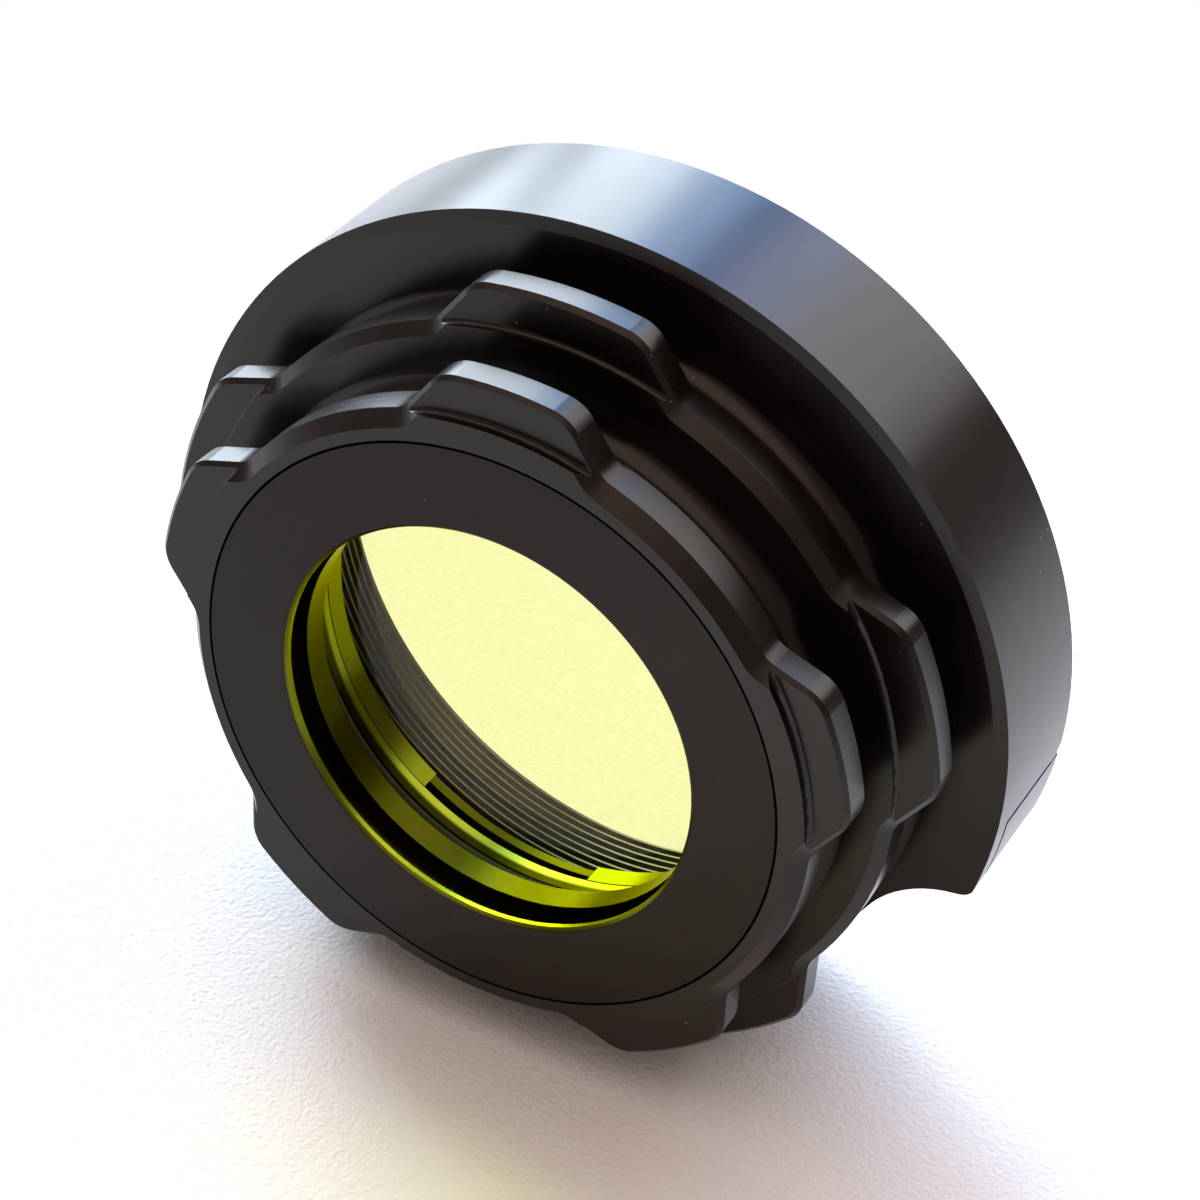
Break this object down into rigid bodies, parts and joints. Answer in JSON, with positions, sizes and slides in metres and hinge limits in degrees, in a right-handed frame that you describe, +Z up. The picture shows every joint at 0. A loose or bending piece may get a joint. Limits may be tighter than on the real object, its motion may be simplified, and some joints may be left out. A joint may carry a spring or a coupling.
{
  "type": "contrast booster filter",
  "caption": "Black optical filter holder with lobed grip rings, a yellow contrast glass in a screwed cell, and a slit clamp arm round its rear mounting thread.",
  "frame": {"origin": "on the optical axis, in the plane of the rear face that seats on the instrument", "axes": "+Y along the optical axis out of the rear thread, so the front of the filter faces -Y; +Z up, away from the clamp arm; +X towards the clamp screw, to the right seen from the front"},
  "size_m": [0.0672, 0.0248, 0.062],
  "materials": {
    "black_holder": "black anodised, satin, with fine turning and milling marks",
    "black_cell": "black anodised, satin, finely turned face",
    "yellow_glass": "polished, clear yellow, faint coating reflection",
    "black_rubber": "matt black",
    "black_spacer": "black anodised, satin",
    "spring_steel": "dark oiled spring steel",
    "blackened_steel": "black oxide"
  },
  "bodies": {
    "root": {"holder_body": "black_holder", "filter_cell": "black_cell", "filter_glass": "yellow_glass", "seal_ring": "black_rubber", "spacer_ring": "black_spacer", "snap_ring": "spring_steel", "clamp_screw": "blackened_steel"}
  },
  "joints": []
}
